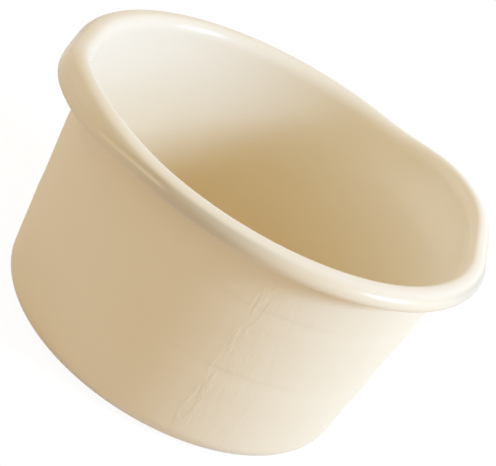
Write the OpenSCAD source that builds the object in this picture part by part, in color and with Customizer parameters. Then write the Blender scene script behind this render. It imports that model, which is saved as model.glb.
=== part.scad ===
// Commode-style bedpan: a round, tapered, one-piece plastic pan with a rolled rim
// and two raised grips on opposite sides of the rim.
// Millimetres, +Z up, origin on the ground under the middle of the floor.
// X runs through the two grips.

/* [Base] */
// Radius at which the line of the outer wall meets the ground
base_r = 125; // [100:1:150]
// Outer radius of the rounded corner between floor and wall
corner_r = 14; // [8:1:24]
// Thickness of the floor
floor_t = 3.5; // [2.5:0.5:6]
// Width of the foot ring that the pan stands on, inside the rounded corner
foot_w = 12; // [6:1:25]
// Depth of the shallow recess inside the foot ring
recess_d = 1.2; // [0.6:0.1:1.8]

/* [Wall] */
// Thickness of the wall at the base
wall_t = 3; // [2.5:0.5:5]
// Outward lean of the wall, in degrees
draft = 5.4; // [2:0.1:9]
// Height of the lower ring line
ring_low = 70; // [40:1:95]
// Height of the upper ring line
ring_high = 122; // [105:1:130]
// How far the wall steps in at each ring line
ring_step = 0.4; // [0.2:0.1:0.6]

/* [Rim] */
// Height of the crest of the rim
rim_h = 170; // [160:1:200]
// How far the crest lies outside the line of the wall
crest_out = 4.4; // [2:0.1:8]
// Height of the round between the inner wall and the crest
crest_round = 6; // [3:0.5:10]
// How far the lip stands out beyond the crest
lip_out = 10.5; // [7:0.5:16]
// Height of the lip, from the crest to its lower edge
lip_drop = 13.2; // [11:0.1:18]
// Radius of the lower edge of the lip
lip_edge_r = 5; // [2:0.5:6]
// Width of the flat seat under the lip
seat_w = 2; // [1:0.5:4]
// Height of the hollow between the seat and the wall
lip_hollow = 9; // [4:0.5:10]

/* [Grips] */
// Angle from the middle of a grip to where it runs out into the rim, in degrees
grip_half = 35; // [20:1:55]
// How far the crest bows out at the middle of a grip
grip_reach = 8.5; // [4:0.5:15]
// How far the crest rises at the middle of a grip
grip_rise = 6.5; // [0:0.5:12]
// How much further the lip stands out at the middle of a grip
grip_out = 2; // [0:0.5:6]
// Height above the upper ring line at which the wall starts to flare into a grip
flare_above = 6; // [2:1:10]
// How hollow the flare is: 1 is straight, more is hollower
flare_power = 1.6; // [1:0.1:3]

/* [Hidden] */

wall_colour = "#E6D8BD";
rim_colour = "#F1E9D8";
$fn = 180;

// Steps along each round of a section, up the wall under the lip, and across a grip
round_steps = 8;
wall_steps = 4;
grip_steps = 28;
// Share of a grip's flare that the wall makes, the rest being the closed hollow
flare_wall = 0.8;
// Width of the flat left on the rounded corner where it meets the floor
corner_land = 1;

lean = tan(draft);
lip_z = rim_h - lip_drop;
flare_z = ring_high + flare_above;
corner_in_r = corner_r - wall_t;
corner_in_z = floor_t + corner_in_r;
corner_top = max(corner_r, corner_in_z);
// Radii of the centres of the outer and inner corner rounds
corner_x = base_r + corner_r * lean - corner_r / cos(draft);
corner_in_x = base_r - wall_t + corner_in_z * lean - corner_in_r / cos(draft);
// Outer edge of the flat floor, just inside both rounds, and inner edge of the foot ring
plate_r = min(corner_x, corner_in_x) - corner_land;
foot_r = plate_r - foot_w;
rim_angle = 180 - 2 * grip_half;

// Radius of the outer wall at height z in band 0, 1 or 2, counted from the ground
function outer_r(z, band) = base_r + z * lean - band * ring_step;

// Radius of the inner wall at height z
function inner_r(z) = base_r - wall_t + z * lean;

function blend(a, b, t) = a + (b - a) * t;

// A smooth rise from 0 to 1 that is level at both ends
function ease(t) = t * t * t * (t * (6 * t - 15) + 10);

// Share of the grip's shape in the rim, at an angle from the middle of the grip
function grip_share(angle) = ease(max(0, 1 - abs(angle) / grip_half));

// Points of an elliptical round about a centre, without its first point
function round_points(centre, width, height, from, to) =
    [for (i = [1:round_steps])
        let (a = blend(from, to, i / round_steps))
        centre + [width * cos(a), height * sin(a)]];

// Wall, arched hollow and flat seat of the plain rim, ending at the lip's lower edge
function plain_underside(edge_x) =
    let (wall_x = outer_r(lip_z, 2),
         half = (edge_x - seat_w - wall_x) / 2)
    concat(
        [for (i = [0:wall_steps])
            let (z = blend(flare_z, lip_z, i / wall_steps))
            [outer_r(z, 2), z]],
        round_points([wall_x + half, lip_z], half, lip_hollow, 180, 0),
        [[edge_x, lip_z]]);

// Closed flare from the wall to the same lower edge, with as many points
function flared_underside(edge_x) =
    let (lip_steps = round_steps + 1,
         wall_shares = [for (i = [0:wall_steps]) flare_wall * i / wall_steps],
         lip_shares = [for (i = [1:lip_steps]) blend(flare_wall, 1, i / lip_steps)])
    [for (t = concat(wall_shares, lip_shares))
        [blend(outer_r(flare_z, 2), edge_x, pow(t, flare_power)), blend(flare_z, lip_z, t)]];

// Inner wall from under the crest down to the start of the flare
function inner_side(share, top_z) =
    [for (i = [round_steps - 1:-1:0])
        let (t = i / round_steps,
             plain_x = blend(inner_r(flare_z), inner_r(rim_h - crest_round), t))
        [plain_x + share * grip_reach * ease(t), blend(flare_z, top_z, t)]];

// Outline of the rim's section above the upper ring line, from the outer wall over
// the lip and the crest to the inner wall. A share of 0 is the plain rim, and a
// share of 1 is the middle of a grip.
function rim_section(share) =
    let (crest_x = outer_r(rim_h, 2) + crest_out + share * grip_reach,
         crest_z = rim_h + share * grip_rise,
         lip_x = crest_x + lip_out + share * grip_out,
         edge_x = lip_x - lip_edge_r,
         edge_z = lip_z + lip_edge_r,
         top_x = inner_r(rim_h - crest_round) + share * grip_reach,
         top_z = crest_z - crest_round,
         plain = plain_underside(edge_x),
         flared = flared_underside(edge_x))
    concat(
        [[outer_r(ring_high, 2), ring_high]],
        [for (i = [0:len(plain) - 1]) blend(plain[i], flared[i], share)],
        round_points([edge_x, edge_z], lip_edge_r, lip_edge_r, -90, 0),
        round_points([crest_x, edge_z], lip_x - crest_x, crest_z - edge_z, 0, 90),
        round_points([crest_x, top_z], crest_x - top_x, crest_round, 90, 180),
        inner_side(share, top_z),
        [[inner_r(ring_high), ring_high]]);

// A ring turned from the outline of its section
module turned(outline) {
    rotate_extrude() polygon(outline);
}

// A straight band of wall between two heights
module wall_band(low, high, band) {
    turned([[inner_r(low), low], [outer_r(low, band), low],
            [outer_r(high, band), high], [inner_r(high), high]]);
}

// Flat floor with the foot ring under its edge
module floor_plate() {
    color(wall_colour) turned([
        [0, recess_d], [foot_r, recess_d], [foot_r, 0],
        [plate_r, 0], [plate_r, floor_t], [0, floor_t]]);
}

// Rounded corner between the floor and the wall
module base_corner() {
    color(wall_colour) turned(concat(
        [[plate_r, 0], [corner_x, 0]],
        round_points([corner_x, corner_r], corner_r, corner_r, -90, -draft),
        [[outer_r(corner_top, 0), corner_top], [inner_r(corner_top), corner_top]],
        [[corner_in_x + corner_in_r * cos(draft), corner_in_z - corner_in_r * sin(draft)]],
        round_points([corner_in_x, corner_in_z], corner_in_r, corner_in_r, -draft, -90),
        [[plate_r, floor_t]]));
}

module lower_wall() {
    color(wall_colour) wall_band(corner_top, ring_low, 0);
}

module middle_wall() {
    color(wall_colour) wall_band(ring_low, ring_high, 1);
}

// The plain stretch of rim between the grips, centred on an angle about Z
module plain_rim(middle) {
    color(rim_colour) rotate([0, 0, middle - rim_angle / 2])
        rotate_extrude(angle = rim_angle) polygon(rim_section(0));
}

// A grip, centred on an angle about Z: sections of the rim whose share grows to
// the middle and falls off again, joined side to side
module grip(middle) {
    sections = [for (i = [0:grip_steps])
        let (angle = blend(-grip_half, grip_half, i / grip_steps),
             turn = middle + angle)
        [for (p = rim_section(grip_share(angle))) [p.x * cos(turn), p.x * sin(turn), p.y]]];
    count = len(sections[0]);
    points = [for (section = sections) each section];
    sides = [for (i = [0:grip_steps - 1], j = [0:count - 1])
        let (a = i * count + j,
             b = i * count + (j + 1) % count)
        each [[a, a + count, b], [b, a + count, b + count]]];
    first = [for (j = [0:count - 1]) j];
    last = [for (j = [count - 1:-1:0]) grip_steps * count + j];
    color(rim_colour) polyhedron(points, concat(sides, [first, last]), convexity = 6);
}

module front_rim() {
    plain_rim(-90);
}

module rear_rim() {
    plain_rim(90);
}

module left_grip() {
    grip(180);
}

module right_grip() {
    grip(0);
}

floor_plate();
base_corner();
lower_wall();
middle_wall();
front_rim();
rear_rim();
left_grip();
right_grip();
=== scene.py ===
"""Looks of a commode-style bedpan: one cream polypropylene moulding, round and tapered,
with a turned-down rolled lip that rises and bows out into two grips.

Every piece is a surface of turning: a section, worked out in millimetres as radius and
height, is carried round the upright axis. The sizes are those of the solids, apart from
the finishing details. Angles are in degrees about +Z, with 0 at the middle of the right
grip.
"""

import bpy
import numpy as np
from mathutils import Matrix, Vector


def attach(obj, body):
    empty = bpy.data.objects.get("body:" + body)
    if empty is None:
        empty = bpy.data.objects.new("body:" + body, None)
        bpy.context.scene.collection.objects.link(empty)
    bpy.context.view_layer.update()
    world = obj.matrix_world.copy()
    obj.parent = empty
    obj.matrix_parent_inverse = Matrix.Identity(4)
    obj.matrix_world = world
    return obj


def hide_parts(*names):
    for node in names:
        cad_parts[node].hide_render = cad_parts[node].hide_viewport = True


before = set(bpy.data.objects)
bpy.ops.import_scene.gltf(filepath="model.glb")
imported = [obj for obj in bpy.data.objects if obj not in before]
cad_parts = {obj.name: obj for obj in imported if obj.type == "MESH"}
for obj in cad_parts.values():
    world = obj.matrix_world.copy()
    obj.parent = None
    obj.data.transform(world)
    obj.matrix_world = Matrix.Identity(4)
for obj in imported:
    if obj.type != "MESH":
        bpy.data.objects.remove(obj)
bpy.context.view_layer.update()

MM = 0.001

# Sizes of the pan, in millimetres and degrees
BASE_R = 125.0  # radius at which the line of the outer wall meets the ground
CORNER_R = 14.0  # outer radius of the rounded corner between floor and wall
FLOOR_T = 3.5  # thickness of the floor
FOOT_W = 12.0  # width of the foot ring
RECESS_D = 1.2  # depth of the recess inside the foot ring
WALL_T = 3.0  # thickness of the wall at the base
DRAFT = 5.4  # outward lean of the wall
RING_LOW = 70.0  # height of the lower ring line
RING_HIGH = 122.0  # height of the upper ring line
RING_STEP = 0.4  # how far the wall steps in at each ring line
RIM_H = 170.0  # height of the crest of the rim
CREST_OUT = 4.4  # how far the crest lies outside the line of the wall
LIP_OUT = 10.5  # how far the lip stands out beyond the crest
LIP_DROP = 13.2  # height of the lip
LIP_EDGE_R = 5.0  # radius of the lower edge of the lip
SEAT_W = 2.0  # width of the flat seat under the lip
LIP_HOLLOW = 9.0  # height of the hollow between the seat and the wall
GRIP_HALF = 35.0  # angle from the middle of a grip to where it runs out into the rim
GRIP_REACH = 8.5  # how far the crest bows out at the middle of a grip
GRIP_RISE = 6.5  # how far the crest rises there
GRIP_OUT = 2.0  # how much further the lip stands out there
FLARE_ABOVE = 6.0  # height above the upper ring line at which a grip's flare starts
FLARE_POWER = 1.6  # how hollow the flare is, 1 being straight
FLARE_WALL = 0.8  # share of the flare that the wall makes
CORNER_LAND = 1.0  # width of the flat where the corner meets the floor
# Bands of the outer wall, from the ground up, each a ring step further in
LOWER_BAND, MIDDLE_BAND, RIM_BAND = 0, 1, 2

LEAN = np.tan(np.radians(DRAFT))
LIP_Z = RIM_H - LIP_DROP
FLARE_Z = RING_HIGH + FLARE_ABOVE
CORNER_IN_R = CORNER_R - WALL_T
CORNER_IN_Z = FLOOR_T + CORNER_IN_R
CORNER_TOP = max(CORNER_R, CORNER_IN_Z)
# Radii of the centres of the outer and inner corner rounds
CORNER_X = BASE_R + CORNER_R * LEAN - CORNER_R / np.cos(np.radians(DRAFT))
CORNER_IN_X = (
    BASE_R - WALL_T + CORNER_IN_Z * LEAN - CORNER_IN_R / np.cos(np.radians(DRAFT))
)
# Outer edge of the flat floor and inner edge of the foot ring
PLATE_R = min(CORNER_X, CORNER_IN_X) - CORNER_LAND
FOOT_R = PLATE_R - FOOT_W

# Finishing details of the shapes, in millimetres and degrees
CREST_ROUND = 11.0  # height over which the crest eases into the inner wall
RING_SOFT = 14.0  # height over which a ring line rolls over
EDGE_R = 0.6  # round on the edge of the seat under the lip
FOLD_Z = 165.4  # height of the fold in the lip where a grip runs out into the rim
FOLD_ABOVE = 2.4  # height of the fold's upper side
FOLD_BELOW = 1.5  # height of the fold's lower side
FOLD_DEPTH = 0.5
FOLD_ANGLE = 24.5  # degrees from the middle of a grip to the middle of a fold
FOLD_REACH = 13.0  # degrees from the middle of a fold to its end

# Steps along the stretches of the sections
WALL_STEPS = 14  # up the wall under the lip
ARCH_STEPS = 20  # over the hollow under the lip
EDGE_STEPS = 5  # round a small edge
SEAT_STEPS = 3  # across the seat under the lip
LIP_EDGE_STEPS = 14  # round the lower edge of the lip
LIP_FACE_STEPS = 40  # up the face of the lip, close enough for the fold
CREST_STEPS = 20  # over the crest
BOW_STEPS = 24  # down the inner wall to the height of the flare
RISE_STEPS = 3  # between the upper ring line and the height of the flare
BAND_STEPS = 12  # along a band of wall
ROLL_STEPS = 16  # over a ring line
CORNER_STEPS = 28  # round the outer corner
CORNER_IN_STEPS = 24  # round the inner corner
LAND_STEPS = 2  # across the flat where the corner meets the floor
FLOOR_STEPS = 40  # from the axis out over the floor
FOOT_STEPS = 5  # across the foot ring
# Points of each section that are inside the pan, the pole of the floor left out
RIM_INNER = CREST_STEPS + BOW_STEPS + RISE_STEPS
BAND_INNER = BAND_STEPS + 1
CORNER_INNER = 2 + CORNER_IN_STEPS + LAND_STEPS  # 2 are the points above the round
FLOOR_INNER = FLOOR_STEPS

STEP = 0.5  # degrees between the sections of every piece, so that their edges meet
SHARP = 50.0  # degrees between two faces from which their edge is sharp

# Colours of the plastic
CREAM = "#F0E7D1"
WARM_CREAM = "#EEE3C9"
# Painted shade: deeper cream inside towards the floor, for the shade deep in the pan
DEEP_SHADE_CREAM = "#EFDDB6"
# Painted light: paler cream on the crest, down the inside, on the corner and along the folds'
# lower edges
PAINTED_LIGHT_CREAM = "#F5EFE0"
# Painted shade on the face of the lip, and wear on the sole of the foot ring
SHADE_AND_WEAR_CREAM = "#CEC7B6"
# Painted shade in the ring lines at the front of the wall
RING_LINE_SHADE = "#B89A78"

# Where the colours lie, in millimetres and degrees, and how strong they are
SHADE_DEEPENING = 2.5  # power of the depth by which painted shade deepens the cream inside
OUTSIDE = 0.01  # depth below which a point is on the outside
PAINTED_LIGHT_DEPTH = 0.58  # depth inside, as a share, at which the painted light down from the crest ends
PAINTED_LIGHT_DROP = 4.5  # how far the painted light of the crest reaches down the lip
SHADED_FACE_TOP = 0.8  # how far below the crest the painted shade on the face of the lip starts
SHADED_FACE_FADE_IN = 2.6  # height over which it comes in
SHADED_FACE_UNDER = 1.0  # how far below the lip it ends
SHADED_FACE_FADE_OUT = 4.0  # height over which it goes out
ENDS_SHARE = 0.6  # how strong the painted shade on the lip is where a grip runs out into the rim
ENDS_ANGLE = 42.0  # degrees from the middle of a grip to where that is strongest
ENDS_REACH = 34.0  # degrees from there to where it has faded out
SIDES_SHARE = 0.25  # how strong the painted shade on the lip is on a grip
SIDES_ANGLE = 95.0  # degrees from the middle of a grip to where that would end
SIDES_FADE = 60.0  # degrees over which it fades out
SOLE_SHARE = 0.6  # how worn the ring is that the pan stands on
SOLE_Z = 0.1  # height below which a point is on the sole of that ring
HIGHLIGHT_SHARE = 0.6  # how strong the painted highlight is along the lower edge of a fold
HIGHLIGHT_Z = 164.2  # height of that edge
HIGHLIGHT_HALF = 1.4  # half of its width
LINE_SHARE = 0.06  # how strong the painted shade in a ring line is
LINE_HALF = 2.2  # half of its width
LINE_MIDDLE = -106.0  # angle of its middle, at the front of the wall
LINE_FULL = 8.0  # degrees to either side within which it is full
LINE_END = 24.0  # degrees to either side at which it has faded out

# Sizes of the patterns, in millimetres
MARK_WIDTH = 1.6  # upright marks left by drawing the pan off its mould
MARK_STRETCH = 40.0  # how many times longer than wide they are
MARK_DEPTH = 0.02
MARK_ROUGH = 0.12  # how much rougher they make the face
MARK_FULL_Z = 146.0  # height up to which they are full
MARK_END_Z = 158.0  # height at which they have faded out, just under the lip
RIDGE_WIDTH = 0.9  # ridges within a scuff
RIDGE_STRETCH = 3.5  # how many times longer than wide they are
PATCH_WIDTH = 5.0  # patches into which a scuff breaks up
PATCH_LOW, PATCH_HIGH = 0.40, 0.60  # noise at which a patch starts and is full
PATCH_LEAST = 0.1  # share of a scuff that is left between its patches
SCUFF_DEPTH = 0.34
SCUFF_CORE = 0.3  # share of a scuff's width within which it is full
SCUFF_FADE = 6.0  # height over which it fades, to either side of its end
# Drag marks up the front of the wall: strength, middle in degrees, half width, low, high
SCUFFS = [
    (0.3, -104.0, 34.0, 14.0, 142.0),
    (1.0, -111.8, 7.5, 16.0, 142.0),
    (0.5, -102.4, 3.0, 84.0, 112.0),
    (0.4, -96.1, 1.6, 26.0, 46.0),
]
GRAIN = 1.2  # satin grain, really about 0.1 mm, drawn coarser so that it shows
GRAIN_DEPTH = 0.004
CLOUD = 45.0  # drift of the colour

# Gloss of the plastic
SATIN = 0.55  # roughness of the wall
POLISHED = 0.26  # roughness of the crest
SATIN_Z = 159.0  # height up to which the lip is satin
POLISHED_Z = 167.0  # height from which the lip is polished
SHINE = 0.25  # specular level
POLYPROPYLENE_IOR = 1.49


def outer_r(z, band):
    """Radius of the outer wall: the base radius plus height times lean, less the steps."""
    return BASE_R + z * LEAN - band * RING_STEP


def inner_r(z):
    """Radius of the inner wall: the outer one at the base less the wall, with its lean."""
    return BASE_R - WALL_T + z * LEAN


def ease(t):
    """Smooth rise from 0 to 1, level at both ends and beyond them: 6 t^5 - 15 t^4 + 10 t^3,
    with t held between 0 and 1."""
    t = np.clip(t, 0, 1)
    return t * t * t * (t * (6 * t - 15) + 10)


def off_grip(angle):
    """Degrees from the middle of the nearer grip, the middles being at 0 and 180."""
    return np.abs((np.asarray(angle, float) + 90) % 180 - 90)


def grip_share(angle):
    """Share of the grip's shape at an angle: eased from 0 at a grip's end to 1 at its
    middle."""
    return ease(1 - off_grip(angle) / GRIP_HALF)


def fold_share(angle):
    """Share of the fold along the rim: 1 about FOLD_ANGLE from the middle of a grip, eased
    to 0 over the outer half of FOLD_REACH to either side."""
    return ease(2 - 2 * np.abs(off_grip(angle) - FOLD_ANGLE) / FOLD_REACH)


def arc(x, z, width, height, start, end, steps):
    """Elliptical arc about (x, z), as x + width cos a and z + height sin a for even steps
    of a from start to end, the first left out. Any of them may be a column of angles."""
    a = np.radians(start + (end - start) * np.arange(1, steps + 1) / steps)
    return x + width * np.cos(a), z + height * np.sin(a)


def straight(x0, z0, x1, z1, steps):
    """Even steps along the line from one point to another, the first left out."""
    t = np.arange(1, steps + 1) / steps
    return x0 + (x1 - x0) * t, z0 + (z1 - z0) * t


def joined(*stretches):
    """The stretches of a section end to end, each with as many rows as the one that has
    most. A stretch is a pair of radii and heights, which may be single numbers."""
    grids = [[np.atleast_2d(c) for c in stretch] for stretch in stretches]
    rows = max(x.shape[0] for x, z in grids)
    full = [
        np.stack([np.broadcast_to(c, (rows, c.shape[1])) for c in grid], -1) for grid in grids
    ]
    return np.concatenate(full, axis=1)


def rim_section(angle):
    """Section of the rim above the upper ring line at each angle, from the foot of the
    outer wall over the lip and the crest to the foot of the inner wall.

    Under the lip, the plain rim has the straight wall, an arched hollow and a flat seat;
    the grip has one hollow flare, whose radius grows with height to a power. The section
    is the mix of the two by the grip's share. Above it come the round lower edge of the
    lip, a quarter ellipse up to the crest, a quarter ellipse down to the inner wall, and
    the inner wall, which bows out with the crest. The first ellipse is drawn in by the
    depth of the fold, eased to nothing above and below the fold's height."""
    share = grip_share(angle)[:, None]
    bow = share * GRIP_REACH
    crest_x = outer_r(RIM_H, RIM_BAND) + CREST_OUT + bow
    crest_z = RIM_H + share * GRIP_RISE
    lip_x = crest_x + LIP_OUT + share * GRIP_OUT
    edge_x = lip_x - LIP_EDGE_R
    edge_z = LIP_Z + LIP_EDGE_R
    top_x = inner_r(RIM_H - CREST_ROUND) + bow
    top_z = crest_z - CREST_ROUND
    # The round over the crest ends where it has the slope of the inner wall
    rise = inner_r(RIM_H - CREST_ROUND) - inner_r(FLARE_Z)
    slope = rise / (top_z - FLARE_Z)
    level = 180 - np.degrees(np.arctan(slope * CREST_ROUND / (crest_x - top_x)))
    end_x = crest_x + (crest_x - top_x) * np.cos(np.radians(level))
    end_z = top_z + CREST_ROUND * np.sin(np.radians(level))

    ring_r = outer_r(RING_HIGH, RIM_BAND)
    flare_r = outer_r(FLARE_Z, RIM_BAND)
    wall_x = outer_r(LIP_Z, RIM_BAND)
    seat_x = edge_x - SEAT_W
    half = (seat_x - wall_x) / 2
    plain = joined(
        (flare_r, FLARE_Z),
        straight(flare_r, FLARE_Z, wall_x, LIP_Z, WALL_STEPS),
        arc(wall_x + half, LIP_Z + EDGE_R, half, LIP_HOLLOW - EDGE_R, 180, 0, ARCH_STEPS),
        arc(seat_x + EDGE_R, LIP_Z + EDGE_R, EDGE_R, EDGE_R, 180, 270, EDGE_STEPS),
        straight(seat_x + EDGE_R, LIP_Z, edge_x, LIP_Z, SEAT_STEPS),
    )
    lip_steps = ARCH_STEPS + EDGE_STEPS + SEAT_STEPS
    t = np.concatenate(
        [
            FLARE_WALL * np.arange(WALL_STEPS + 1) / WALL_STEPS,
            FLARE_WALL + (1 - FLARE_WALL) * np.arange(1, lip_steps + 1) / lip_steps,
        ]
    )
    flared_x = flare_r + (edge_x - flare_r) * t**FLARE_POWER
    flared_z = np.broadcast_to(FLARE_Z + (LIP_Z - FLARE_Z) * t, flared_x.shape)
    flared = np.stack([flared_x, flared_z], -1)
    under = plain + (flared - plain) * share[..., None]

    face_x, face_z = arc(
        crest_x, edge_z, lip_x - crest_x, crest_z - edge_z, 0, 90, LIP_FACE_STEPS
    )
    fold = ease((FOLD_Z + FOLD_ABOVE - face_z) / FOLD_ABOVE)
    fold = fold * ease((face_z - FOLD_Z + FOLD_BELOW) / FOLD_BELOW)
    face_x = face_x - FOLD_DEPTH * fold * fold_share(angle)[:, None]

    foot_x = inner_r(FLARE_Z)
    down = 1 - np.arange(1, BOW_STEPS + 1) / BOW_STEPS
    inner_x = foot_x + (end_x - bow - foot_x) * down + bow * ease(down)
    inner_z = FLARE_Z + (end_z - FLARE_Z) * down
    return np.concatenate(
        [
            joined(
                (ring_r, RING_HIGH),
                straight(ring_r, RING_HIGH, flare_r, FLARE_Z, RISE_STEPS),
            )[:, :-1].repeat(len(share), 0),
            under,
            joined(
                arc(edge_x, edge_z, LIP_EDGE_R, LIP_EDGE_R, -90, 0, LIP_EDGE_STEPS),
                (face_x, face_z),
                arc(crest_x, top_z, crest_x - top_x, CREST_ROUND, 90, level, CREST_STEPS),
                (inner_x, inner_z),
                straight(foot_x, FLARE_Z, inner_r(RING_HIGH), RING_HIGH, RISE_STEPS),
            ),
        ],
        axis=1,
    )


def band_section(low, high, band):
    """Section of a band of wall: straight up outside, rolling in by one ring step over the
    last RING_SOFT of height, and straight down inside."""
    soft = high - RING_SOFT
    up = np.concatenate(
        [
            np.linspace(low, soft, BAND_STEPS + 1)[:-1],
            soft + RING_SOFT * np.arange(ROLL_STEPS + 1) / ROLL_STEPS,
        ]
    )
    roll = ease((up - high + RING_SOFT) / RING_SOFT)
    down = np.linspace(high, low, BAND_INNER)
    return np.concatenate(
        [
            np.stack([outer_r(up, band) - RING_STEP * roll, up], -1),
            np.stack([inner_r(down), down], -1),
        ]
    )


def corner_section():
    """Section of the rounded corner: a flat land, a round of CORNER_R up to the outer wall,
    and a round of CORNER_IN_R from the inner wall down to the floor."""
    lean_x, lean_z = np.cos(np.radians(DRAFT)), np.sin(np.radians(DRAFT))
    inner_x = CORNER_IN_X + CORNER_IN_R * lean_x
    inner_z = CORNER_IN_Z - CORNER_IN_R * lean_z
    return joined(
        (PLATE_R, 0.0),
        straight(PLATE_R, 0, CORNER_X, 0, LAND_STEPS),
        arc(CORNER_X, CORNER_R, CORNER_R, CORNER_R, -90, -DRAFT, CORNER_STEPS),
        (outer_r(CORNER_TOP, LOWER_BAND), CORNER_TOP),
        (inner_r(CORNER_TOP), CORNER_TOP),
        (inner_x, inner_z),
        arc(
            CORNER_IN_X, CORNER_IN_Z, CORNER_IN_R, CORNER_IN_R, -DRAFT, -90, CORNER_IN_STEPS
        ),
        straight(CORNER_IN_X, FLOOR_T, PLATE_R, FLOOR_T, LAND_STEPS),
    )[0]


def floor_section():
    """Half section of the floor, from the middle of the underside to the middle of the top:
    the shallow recess, the eased inner edge of the foot ring, the ring and the flat floor,
    with both ends on the axis."""
    half = RECESS_D / 2
    return joined(
        (0.0, RECESS_D),
        straight(0, RECESS_D, FOOT_R - half, RECESS_D, FLOOR_STEPS),
        arc(FOOT_R - half, half, half, half, 90, 0, EDGE_STEPS),
        arc(FOOT_R + half, half, half, half, 180, 270, EDGE_STEPS),
        straight(FOOT_R + half, 0, PLATE_R, 0, FOOT_STEPS),
        (PLATE_R, FLOOR_T),
        straight(PLATE_R, FLOOR_T, 0, FLOOR_T, FLOOR_STEPS),
    )[0]


def turned(section, angle):
    """Points of a section carried round the axis: (r cos a, r sin a, z) for each angle."""
    a = np.radians(angle)[:, None]
    r, z = section[..., 0], section[..., 1]
    return np.stack([r * np.cos(a), r * np.sin(a), z + 0 * a], -1) * MM


def quads(rows, columns, around, closed):
    """Four-sided faces of a grid of points, one row for each angle: a point, its fellow in
    the next row, and the next of both. The rows or the columns may close on themselves."""
    i, k = np.meshgrid(
        np.arange(rows - (not around)), np.arange(columns - (not closed)), indexing="ij"
    )
    i_next, k_next = (i + 1) % rows, (k + 1) % columns
    return np.stack(
        [
            i * columns + k,
            i_next * columns + k,
            i_next * columns + k_next,
            i * columns + k_next,
        ],
        -1,
    ).reshape(-1, 4)


def shares(points, inner):
    """How deep each point of a grid is, and its shares of painted light, of painted shade and
    wear, and of painted highlight. The last `inner` points of every section are inside: their
    depth goes from 0 at the crest to 1 at the ground, and painted light makes them paler down from
    the crest, gone at a set share of the depth. Outside there is no depth; painted light makes the
    crest paler down to a set drop below its top, and the rounded corner paler. Painted shade greys
    the face of the lip, most of all where the grips run out into the rim, and wear greys the ring
    that the pan stands on. A painted highlight runs along the folds of the rim."""
    z = points[..., 2] / MM
    angle = np.degrees(np.arctan2(points[..., 1], points[..., 0]))
    off = off_grip(angle)
    crest = RIM_H + GRIP_RISE * grip_share(angle)
    inside = np.arange(points.shape[1]) >= points.shape[1] - inner
    depth = np.where(inside, np.clip(1 - z / crest, 0, 1), 0)
    # Painted light: the crest outside and the rounded corner are paler
    painted_light_outside = ease(1 - (crest - z) / PAINTED_LIGHT_DROP) + ease(1 - z / CORNER_R)
    painted_light = np.where(inside, ease(1 - depth / PAINTED_LIGHT_DEPTH), painted_light_outside)
    # Painted shade on the face of the lip
    face = ease((crest - z - SHADED_FACE_TOP) / SHADED_FACE_FADE_IN)
    face = face * ease((z - LIP_Z + SHADED_FACE_UNDER) / SHADED_FACE_FADE_OUT)
    ends = ENDS_SHARE * ease(1 - np.abs(off - ENDS_ANGLE) / ENDS_REACH)
    sides = SIDES_SHARE * ease((SIDES_ANGLE - off) / SIDES_FADE)
    sole = np.where(z < SOLE_Z, SOLE_SHARE, 0)
    shade_and_wear = np.where(inside, 0, sole + face * (sides + ends))
    painted_highlight = np.where(inside, 0, HIGHLIGHT_SHARE * fold_share(angle))
    return np.stack([depth, painted_light, shade_and_wear, painted_highlight], -1).reshape(-1, 4)


def moulding(name, node, material, points, faces, share):
    """A region of the pan as a closed mesh, which stands for its solid."""
    mesh = bpy.data.meshes.new(name)
    mesh.from_pydata(points.tolist(), [], faces)
    mesh.shade_smooth()
    mesh.set_sharp_from_angle(angle=np.radians(SHARP))
    for k, attribute in enumerate(["depth", "painted_light", "shade_and_wear", "painted_highlight"]):
        mesh.attributes.new(attribute, "FLOAT", "POINT").data.foreach_set("value", share[:, k])
    mesh.materials.append(material)
    piece = bpy.data.objects.new(name, mesh)
    bpy.context.scene.collection.objects.link(piece)
    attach(piece, "root")
    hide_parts(node)


def full_ring(name, node, material, section, inner):
    """A region that runs all the way round."""
    points = turned(section, np.arange(0, 360, STEP))
    faces = quads(*points.shape[:2], True, True).tolist()
    share = shares(points, inner)
    moulding(name, node, material, points.reshape(-1, 3), faces, share)


def floor_disc(name, node, material, section, inner):
    """The floor: rings of points between two poles on the axis, with a fan at each pole."""
    points = turned(section[1:-1], np.arange(0, 360, STEP))
    rows, columns = points.shape[:2]
    poles = np.stack([np.zeros(2), np.zeros(2), section[[0, -1], 1] * MM], -1)
    under, over = rows * columns, rows * columns + 1
    first = np.arange(rows) * columns
    last = first + columns - 1
    faces = (
        quads(rows, columns, True, False).tolist()
        + np.stack([np.full(rows, under), np.roll(first, -1), first], -1).tolist()
        + np.stack([np.full(rows, over), last, np.roll(last, -1)], -1).tolist()
    )
    pole_shares = [[0, 0, 0, 0], [1 - FLOOR_T / RIM_H, 0, 0, 0]]
    share = np.concatenate([shares(points, inner), pole_shares])
    every_point = np.concatenate([points.reshape(-1, 3), poles])
    moulding(name, node, material, every_point, faces, share)


def rim_stretch(name, node, material, start, end):
    """A stretch of the rim between two angles, closed by a flat face at each end."""
    angle = np.linspace(start, end, round((end - start) / STEP) + 1)
    points = turned(rim_section(angle), angle)
    rows, columns = points.shape[:2]
    cap = np.arange(columns)
    faces = quads(rows, columns, False, True).tolist()
    faces += [cap.tolist(), (cap[::-1] + (rows - 1) * columns).tolist()]
    share = shares(points, RIM_INNER)
    moulding(name, node, material, points.reshape(-1, 3), faces, share)


def linear(colour):
    """An sRGB hex colour as linear red, green, blue and an alpha of 1."""
    c = np.array([int(colour[i : i + 2], 16) for i in (1, 3, 5)]) / 255
    c = np.where(c <= 0.04045, c / 12.92, ((c + 0.055) / 1.055) ** 2.4)
    return (*c.tolist(), 1.0)


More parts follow.
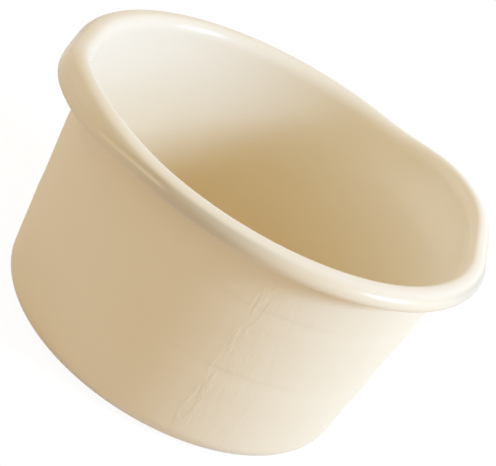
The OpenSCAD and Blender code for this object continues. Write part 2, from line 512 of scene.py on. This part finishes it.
def add(tree, kind, inputs=None, **settings):
    """Adds a node with its settings. An input, named or numbered, is a value or a link. A Map
    Range's inputs 1 to 4 are the two ends of what it reads and the two of what it gives."""
    node = tree.nodes.new(kind)
    for name, value in settings.items():
        setattr(node, name, value)
    for name, value in (inputs or {}).items():
        if isinstance(value, bpy.types.NodeSocket):
            tree.links.new(value, node.inputs[name])
        else:
            node.inputs[name].default_value = value
    return node


def blank(name):
    """A new material with an empty node tree, and that tree."""
    material = bpy.data.materials.new(name)
    material.use_nodes = True
    material.node_tree.nodes.clear()
    return material, material.node_tree


def wrapped(tree, place, stretch):
    """Place on the wall for a pattern that is drawn out up it: the direction away from the
    axis times the base radius, and the height divided by the stretch."""
    flat = add(tree, "ShaderNodeVectorMath", {0: place, 1: (1, 1, 0)}, operation="MULTIPLY")
    flat = add(tree, "ShaderNodeVectorMath", {0: flat.outputs[0]}, operation="NORMALIZE")
    low = add(
        tree, "ShaderNodeVectorMath", {0: place, 1: (0, 0, 1 / stretch)}, operation="MULTIPLY"
    )
    return add(
        tree,
        "ShaderNodeVectorMath",
        {0: flat.outputs[0], 1: (BASE_R * MM,) * 3, 2: low.outputs[0]},
        operation="MULTIPLY_ADD",
    ).outputs[0]


def draw_band(tree, value, middle, end, full, strength):
    """Share of a soft band: its strength where the value is within `full` of the middle,
    eased to 0 where it is `end` away."""
    off = add(tree, "ShaderNodeMath", {0: value, 1: middle}, operation="SUBTRACT")
    off = add(tree, "ShaderNodeMath", {0: off.outputs[0]}, operation="ABSOLUTE")
    return add(
        tree,
        "ShaderNodeMapRange",
        {"Value": off.outputs[0], 1: end, 2: full, 3: 0.0, 4: strength},
        interpolation_type="SMOOTHSTEP",
    ).outputs[0]


def draw_scuff(tree, turn, height, strength, middle, half, low, high):
    """Share of a scuff up the wall: its strength on an upright line at `middle` degrees, 0
    beyond `half` millimetres to either side, and fading out at its low and high ends, from
    SCUFF_FADE within each end to SCUFF_FADE beyond it."""
    reach = half / BASE_R
    share = draw_band(tree, turn, np.radians(middle), reach, SCUFF_CORE * reach, strength)
    for end, inwards in ((low, SCUFF_FADE), (high, -SCUFF_FADE)):
        share = add(
            tree,
            "ShaderNodeMapRange",
            {"Value": height, 1: (end - inwards) * MM, 2: (end + inwards) * MM, 3: 0.0, 4: share},
            interpolation_type="SMOOTHSTEP",
        ).outputs[0]
    return share


def draw_ring_line(tree, turn, height, ring):
    """Share of painted shade in a ring line: most at the height of the ring, none LINE_HALF above
    or below it, and only round the front of the wall."""
    middle, end, full = np.radians([LINE_MIDDLE, LINE_END, LINE_FULL])
    front = draw_band(tree, turn, middle, end, full, LINE_SHARE)
    return draw_band(tree, height, ring * MM, LINE_HALF * MM, 0.0, front)


def draw_painted_highlight(tree, height):
    """Share of the painted highlight along the lower edge of a fold: the points' own share at the
    height of that edge, and none a half width above or below it."""
    along = add(tree, "ShaderNodeAttribute", attribute_name="painted_highlight").outputs["Fac"]
    return draw_band(tree, height, HIGHLIGHT_Z * MM, HIGHLIGHT_HALF * MM, 0.0, along)


def polypropylene(name, lip_rough):
    """Cream polypropylene, moulded in one shot. The mould's drawn wall leaves a satin face
    with fine upright marks, which gives a broad soft sheen; up the lip the face goes from
    satin to the roughness of the crest. The cream drifts a little. Painted shade deepens it inside
    towards the floor and greys the face of the lip; painted light makes it paler on the crest,
    down the inside and on the corner; wear greys the sole of the foot ring. Drag marks are scored
    up the front of the wall, a painted highlight runs along the lower edges of the folds, and
    faint painted shade lies in the ring lines at the front."""
    material, tree = blank(name)
    place = add(tree, "ShaderNodeTexCoord").outputs["Object"]
    x, y, z = add(tree, "ShaderNodeSeparateXYZ", {0: place}).outputs
    turn = add(tree, "ShaderNodeMath", {0: y, 1: x}, operation="ARCTAN2").outputs[0]
    depth, painted_light, shade_and_wear = [
        add(tree, "ShaderNodeAttribute", attribute_name=attribute).outputs["Fac"]
        for attribute in ("depth", "painted_light", "shade_and_wear")
    ]
    # Scuffs and the painted shade in the ring lines are on the outside alone, where there is no
    # depth
    outside = add(tree, "ShaderNodeMath", {0: depth, 1: OUTSIDE}, operation="LESS_THAN").outputs[0]

    # Marks and ridges are noise round the wall, stretched up it
    marks = add(
        tree,
        "ShaderNodeTexNoise",
        {
            "Vector": wrapped(tree, place, MARK_STRETCH),
            "Scale": 1 / (MARK_WIDTH * MM),
            "Detail": 3.0,
            "Roughness": 0.6,
        },
    ).outputs[0]
    short = wrapped(tree, place, RIDGE_STRETCH)
    ridges = add(
        tree,
        "ShaderNodeTexNoise",
        {
            "Vector": short,
            "Scale": 1 / (RIDGE_WIDTH * MM),
            "Detail": 2.0,
            "Roughness": 0.6,
            "Distortion": 0.5,
        },
    ).outputs[0]
    patches = add(
        tree,
        "ShaderNodeTexNoise",
        {"Vector": short, "Scale": 1 / (PATCH_WIDTH * MM), "Detail": 1.0},
    ).outputs[0]
    patches = add(
        tree,
        "ShaderNodeMapRange",
        {"Value": patches, 1: PATCH_LOW, 2: PATCH_HIGH, 3: PATCH_LEAST, 4: 1.0},
        interpolation_type="SMOOTHSTEP",
    ).outputs[0]
    grain = add(
        tree,
        "ShaderNodeTexNoise",
        {"Vector": place, "Scale": 1 / (GRAIN * MM), "Detail": 2.0},
    ).outputs[0]
    cloud = add(
        tree,
        "ShaderNodeTexNoise",
        {"Vector": place, "Scale": 1 / (CLOUD * MM), "Detail": 3.0},
    ).outputs[0]

    drawn = add(
        tree,
        "ShaderNodeMapRange",
        {"Value": z, 1: MARK_FULL_Z * MM, 2: MARK_END_Z * MM, 3: marks, 4: 0.0},
        interpolation_type="SMOOTHSTEP",
    ).outputs[0]
    scored = 0.0
    for scuff in SCUFFS:
        share = draw_scuff(tree, turn, z, *scuff)
        scored = add(
            tree, "ShaderNodeMath", {0: scored, 1: share}, operation="MAXIMUM"
        ).outputs[0]
    for part in (patches, outside, ridges):
        scored = add(
            tree, "ShaderNodeMath", {0: scored, 1: part}, operation="MULTIPLY"
        ).outputs[0]
    height = 0.0
    for form, size in ((drawn, MARK_DEPTH), (scored, SCUFF_DEPTH), (grain, GRAIN_DEPTH)):
        height = add(
            tree, "ShaderNodeMath", {0: form, 1: size, 2: height}, operation="MULTIPLY_ADD"
        ).outputs[0]
    bump = add(
        tree, "ShaderNodeBump", {"Strength": 1.0, "Distance": MM, "Height": height}
    ).outputs[0]

    # Each colour lies over the ones before it, by its own share. A Mix node's inputs 6 and 7
    # and its output 2 are its colours.
    # Painted shade, deepening the cream inside towards the floor
    painted_deep_shade = add(tree, "ShaderNodeMath", {0: depth, 1: SHADE_DEEPENING}, operation="POWER").outputs[0]
    layers = [
        (cloud, WARM_CREAM),
        (painted_deep_shade, DEEP_SHADE_CREAM),
        # Painted light on the crest, down the inside and on the corner
        (painted_light, PAINTED_LIGHT_CREAM),
        # Painted shade on the face of the lip, and wear on the sole
        (shade_and_wear, SHADE_AND_WEAR_CREAM),
        # Painted highlight along the lower edge of each fold
        (draw_painted_highlight(tree, z), PAINTED_LIGHT_CREAM),
    ]
    for ring in (RING_LOW, RING_HIGH):
        line = draw_ring_line(tree, turn, z, ring)
        line = add(tree, "ShaderNodeMath", {0: line, 1: outside}, operation="MULTIPLY").outputs[0]
        # Painted shade along the ring line
        layers.append((line, RING_LINE_SHADE))
    colour = linear(CREAM)
    for share, over in layers:
        colour = add(
            tree, "ShaderNodeMix", {0: share, 6: colour, 7: linear(over)}, data_type="RGBA"
        ).outputs[2]

    rough = add(
        tree,
        "ShaderNodeMapRange",
        {"Value": z, 1: SATIN_Z * MM, 2: POLISHED_Z * MM, 3: SATIN, 4: lip_rough},
        interpolation_type="SMOOTHSTEP",
    ).outputs[0]
    rough = add(
        tree, "ShaderNodeMath", {0: drawn, 1: MARK_ROUGH, 2: rough}, operation="MULTIPLY_ADD"
    ).outputs[0]
    shader = add(
        tree,
        "ShaderNodeBsdfPrincipled",
        {
            "Base Color": colour,
            "Roughness": rough,
            "IOR": POLYPROPYLENE_IOR,
            "Specular IOR Level": SHINE,
            "Normal": bump,
        },
    )
    add(tree, "ShaderNodeOutputMaterial", {"Surface": shader.outputs["BSDF"]})
    return material


satin = polypropylene("satin_moulded_polypropylene", SATIN)
polished = polypropylene("polished_moulded_polypropylene", POLISHED)

lower_band = band_section(CORNER_TOP, RING_LOW, LOWER_BAND)
middle_band = band_section(RING_LOW, RING_HIGH, MIDDLE_BAND)
floor_disc("pan_floor", "floor_plate", satin, floor_section(), FLOOR_INNER)
full_ring("pan_corner", "base_corner", satin, corner_section(), CORNER_INNER)
full_ring("pan_lower_wall", "lower_wall", satin, lower_band, BAND_INNER)
full_ring("pan_middle_wall", "middle_wall", satin, middle_band, BAND_INNER)
rim_stretch("rim_front", "front_rim", polished, GRIP_HALF - 180, -GRIP_HALF)
rim_stretch("rim_rear", "rear_rim", polished, GRIP_HALF, 180 - GRIP_HALF)
rim_stretch("grip_left", "left_grip", polished, 180 - GRIP_HALF, 180 + GRIP_HALF)
rim_stretch("grip_right", "right_grip", polished, -GRIP_HALF, GRIP_HALF)


# Camera: the photograph's viewing angle, in the frame of the pan. It stands at an angle
# about +Z and an elevation seen from the origin, and the picture is rolled against the
# pan's upright. Lengths are in metres, and the lens and the sensor in millimetres.
VIEW_ANGLE = np.radians(-127.2)
VIEW_ELEVATION = np.radians(29.61)
VIEW_ROLL = np.radians(32.01)
VIEW_DISTANCE = 1.25
VIEW_MIDDLE = np.array([0.0066, -0.0050, 0.0984])
VIEW_LENS = 129.9
VIEW_SENSOR = 36.0

station = VIEW_DISTANCE * np.array(
    [
        np.cos(VIEW_ANGLE) * np.cos(VIEW_ELEVATION),
        np.sin(VIEW_ANGLE) * np.cos(VIEW_ELEVATION),
        np.sin(VIEW_ELEVATION),
    ]
)
ahead = (VIEW_MIDDLE - station) / np.linalg.norm(VIEW_MIDDLE - station)
across = np.cross(ahead, [0, 0, 1])
across = across / np.linalg.norm(across)
upright = np.cross(across, ahead)
lens = bpy.data.cameras.new("camera")
lens.sensor_width = VIEW_SENSOR
lens.lens = VIEW_LENS
camera = bpy.data.objects.new("camera", lens)
bpy.context.scene.collection.objects.link(camera)
stand = np.eye(4)
stand[:3, 0] = np.cos(VIEW_ROLL) * across + np.sin(VIEW_ROLL) * upright
stand[:3, 1] = np.cos(VIEW_ROLL) * upright - np.sin(VIEW_ROLL) * across
stand[:3, 2] = -ahead
stand[:3, 3] = station
camera.matrix_world = Matrix(stand.tolist())
bpy.context.scene.camera = camera


def seen_directly(tree):
    """1 for camera, glossy and transmission rays, which see the plain white ground."""
    path = add(tree, "ShaderNodeLightPath")
    camera_or_gloss = add(
        tree,
        "ShaderNodeMath",
        {0: path.outputs["Is Camera Ray"], 1: path.outputs["Is Glossy Ray"]},
        operation="MAXIMUM",
    )
    return add(
        tree,
        "ShaderNodeMath",
        {0: camera_or_gloss.outputs[0], 1: path.outputs["Is Transmission Ray"]},
        operation="MAXIMUM",
    ).outputs[0]


# Light and ground, with lengths in metres
WHITE = "#FFFFFF"
AMBIENT = "#FFE6B9"
AMBIENT_STRENGTH = 0.665
GROUND = "#E2D6CD"  # the ground as the pan is lit by it
GROUND_LIT = 0.12  # share of the ground as it is seen that takes light and shadow
GROUND_GLOW = 0.92  # share of it that is white in any light
GROUND_HALF = 6.0
GROUND_Z = -0.0002  # just under the foot ring
KEY = "#B9D7FF"
KEY_POWER = 46.2
FILL = "#C8DFFF"
FILL_POWER = 9.0
LAMP_DISTANCE = 2.2
LAMP_AIM = 0.09  # height of the point that the lamps face

world = bpy.data.worlds.new("studio")
bpy.context.scene.world = world
world.use_nodes = True
tree = world.node_tree
tree.nodes.clear()
ambient = add(
    tree, "ShaderNodeBackground", {"Color": linear(AMBIENT), "Strength": AMBIENT_STRENGTH}
)
white = add(tree, "ShaderNodeBackground", {"Color": linear(WHITE), "Strength": 1.0})
sky = add(
    tree,
    "ShaderNodeMixShader",
    {0: seen_directly(tree), 1: ambient.outputs[0], 2: white.outputs[0]},
)
add(tree, "ShaderNodeOutputWorld", {"Surface": sky.outputs[0]})

ground_material, tree = blank("pale_studio_floor")
bounce = add(tree, "ShaderNodeBsdfDiffuse", {"Color": linear(GROUND)})
shade = add(tree, "ShaderNodeBsdfDiffuse", {"Color": (GROUND_LIT, GROUND_LIT, GROUND_LIT, 1)})
glow = add(tree, "ShaderNodeEmission", {"Color": linear(WHITE), "Strength": GROUND_GLOW})
shown = add(tree, "ShaderNodeAddShader", {0: shade.outputs[0], 1: glow.outputs[0]})
ground_mix = add(
    tree,
    "ShaderNodeMixShader",
    {0: seen_directly(tree), 1: bounce.outputs[0], 2: shown.outputs[0]},
)
add(tree, "ShaderNodeOutputMaterial", {"Surface": ground_mix.outputs[0]})
ground_mesh = bpy.data.meshes.new("ground")
ground_corners = np.array([(-1, -1), (1, -1), (1, 1), (-1, 1)]) * GROUND_HALF
ground_mesh.from_pydata(
    [(x, y, GROUND_Z) for x, y in ground_corners.tolist()], [], [(0, 1, 2, 3)]
)
ground_mesh.materials.append(ground_material)
ground = bpy.data.objects.new("ground", ground_mesh)
bpy.context.scene.collection.objects.link(ground)


def lamp(name, angle, elevation, size, colour, power):
    """A square soft box that faces the middle of the pan from an angle about +Z and an
    elevation, both in degrees."""
    a, e = np.radians(angle), np.radians(elevation)
    light = bpy.data.lights.new(name, "AREA")
    light.shape = "SQUARE"
    light.size = size
    light.color = linear(colour)[:3]
    light.energy = power
    holder = bpy.data.objects.new(name, light)
    away = Vector((np.cos(a) * np.cos(e), np.sin(a) * np.cos(e), np.sin(e)))
    holder.location = away * LAMP_DISTANCE + Vector((0, 0, LAMP_AIM))
    holder.rotation_mode = "QUATERNION"
    holder.rotation_quaternion = away.to_track_quat("Z", "Y")
    bpy.context.scene.collection.objects.link(holder)


lamp("key_lamp", angle=-43, elevation=28.5, size=0.5, colour=KEY, power=KEY_POWER)
lamp("fill_lamp", angle=143, elevation=30, size=1.6, colour=FILL, power=FILL_POWER)

bpy.context.scene.view_settings.view_transform = "Standard"
